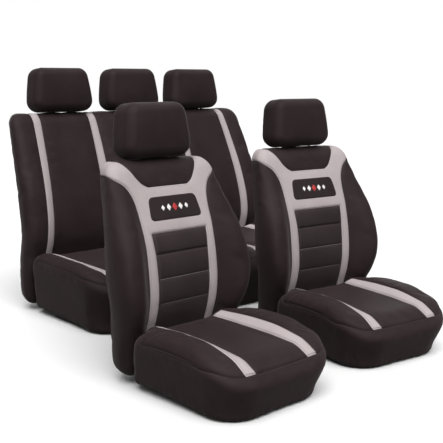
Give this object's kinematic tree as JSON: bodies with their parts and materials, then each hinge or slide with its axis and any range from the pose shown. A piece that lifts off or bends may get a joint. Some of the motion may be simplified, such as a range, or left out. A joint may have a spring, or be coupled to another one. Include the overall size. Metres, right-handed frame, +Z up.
{
  "type": "seat cover set",
  "caption": "Dark fabric car seat covers with light grey trim, fitted over bucket front seats and a rear bench; backs recline, headrests slide.",
  "frame": {"origin": "underside of the left front seat's pan, on the ground under the middle of its cushion", "axes": "+Z up; the seats face -Y; +X towards the right front seat. The right seat and the bench stand turned by 8 and 2 degrees about Z, as the set is displayed."},
  "size_m": [1.7369, 1.8548, 1.1007],
  "materials": {
    "dark_cover_fabric": "woven polyester, matt with a soft sheen",
    "grey_trim_fabric": "flat woven fabric, matt",
    "pleated_fabric": "knitted fabric with a fine rib, matt",
    "patch_fabric": "smooth woven fabric, matt",
    "foam": "moulded polyurethane foam, matt",
    "painted_steel": "black paint, satin",
    "bright_steel": "plated, polished",
    "black_plastic": "moulded, fine grain"
  },
  "bodies": {
    "seat_bases": {"left_cushion_pan": "painted_steel", "left_cushion_foam": "foam", "left_cushion_cover": "dark_cover_fabric", "left_cushion_stripe_l": "grey_trim_fabric", "left_cushion_stripe_r": "grey_trim_fabric", "left_recliner_shaft": "bright_steel", "right_cushion_pan": "painted_steel", "right_cushion_foam": "foam", "right_cushion_cover": "dark_cover_fabric", "right_cushion_stripe_l": "grey_trim_fabric", "right_cushion_stripe_r": "grey_trim_fabric", "right_recliner_shaft": "bright_steel", "bench_cushion_pan": "painted_steel", "bench_cushion_foam": "foam", "bench_cushion_cover": "dark_cover_fabric", "bench_recliner_shaft": "bright_steel", "bench_cushion_stripe_outer_l": "grey_trim_fabric", "bench_cushion_stripe_inner_l": "grey_trim_fabric", "bench_cushion_stripe_inner_r": "grey_trim_fabric", "bench_cushion_stripe_outer_r": "grey_trim_fabric"},
    "left_backrest": {"left_back_frame": "painted_steel", "left_back_foam": "foam", "left_back_cover": "dark_cover_fabric", "left_back_trim": "grey_trim_fabric", "left_back_insert": "pleated_fabric", "left_back_patch": "patch_fabric", "left_headrest_guide": "black_plastic"},
    "left_headrest": {"left_headrest_cover": "dark_cover_fabric", "left_headrest_foam": "foam", "left_headrest_posts": "bright_steel"},
    "right_backrest": {"right_back_frame": "painted_steel", "right_back_foam": "foam", "right_back_cover": "dark_cover_fabric", "right_back_trim": "grey_trim_fabric", "right_back_insert": "pleated_fabric", "right_back_patch": "patch_fabric", "right_headrest_guide": "black_plastic"},
    "right_headrest": {"right_headrest_cover": "dark_cover_fabric", "right_headrest_foam": "foam", "right_headrest_posts": "bright_steel"},
    "bench_backrest": {"bench_back_frame": "painted_steel", "bench_back_foam": "foam", "bench_back_cover": "dark_cover_fabric", "bench_back_stripe_outer_l": "grey_trim_fabric", "bench_back_stripe_inner_l": "grey_trim_fabric", "bench_back_stripe_inner_r": "grey_trim_fabric", "bench_back_stripe_outer_r": "grey_trim_fabric", "bench_left_headrest_guide": "black_plastic", "bench_middle_headrest_guide": "black_plastic", "bench_right_headrest_guide": "black_plastic"},
    "bench_left_headrest": {"bench_left_headrest_cover": "dark_cover_fabric", "bench_left_headrest_foam": "foam", "bench_left_headrest_posts": "bright_steel"},
    "bench_middle_headrest": {"bench_middle_headrest_cover": "dark_cover_fabric", "bench_middle_headrest_foam": "foam", "bench_middle_headrest_posts": "bright_steel"},
    "bench_right_headrest": {"bench_right_headrest_cover": "dark_cover_fabric", "bench_right_headrest_foam": "foam", "bench_right_headrest_posts": "bright_steel"}
  },
  "joints": [
    {"name": "left_recline", "type": "hinge", "parent": "seat_bases", "child": "left_backrest", "pos_m": [0, 0.2815, 0.07], "axis": [-1, 0, 0], "range_deg": [0, 30]},
    {"name": "right_recline", "type": "hinge", "parent": "seat_bases", "child": "right_backrest", "pos_m": [0.77218, 0.28976, 0.07], "axis": [-0.9903, 0.1392, 0], "range_deg": [0, 30]},
    {"name": "bench_recline", "type": "hinge", "parent": "seat_bases", "child": "bench_backrest", "pos_m": [0.7515, 1.36, 0.07], "axis": [-0.9993, 0.0384, 0], "range_deg": [0, 12]},
    {"name": "left_headrest_height", "type": "slide", "parent": "left_backrest", "child": "left_headrest", "axis": [0, 0.0995, 0.995], "range_m": [0, 0.06]},
    {"name": "right_headrest_height", "type": "slide", "parent": "right_backrest", "child": "right_headrest", "axis": [0.0138, 0.0985, 0.995], "range_m": [0, 0.06]},
    {"name": "bench_left_headrest_height", "type": "slide", "parent": "bench_backrest", "child": "bench_left_headrest", "axis": [0.0038, 0.0994, 0.995], "range_m": [0, 0.06]},
    {"name": "bench_middle_headrest_height", "type": "slide", "parent": "bench_backrest", "child": "bench_middle_headrest", "axis": [0.0038, 0.0994, 0.995], "range_m": [0, 0.06]},
    {"name": "bench_right_headrest_height", "type": "slide", "parent": "bench_backrest", "child": "bench_right_headrest", "axis": [0.0038, 0.0994, 0.995], "range_m": [0, 0.06]}
  ]
}
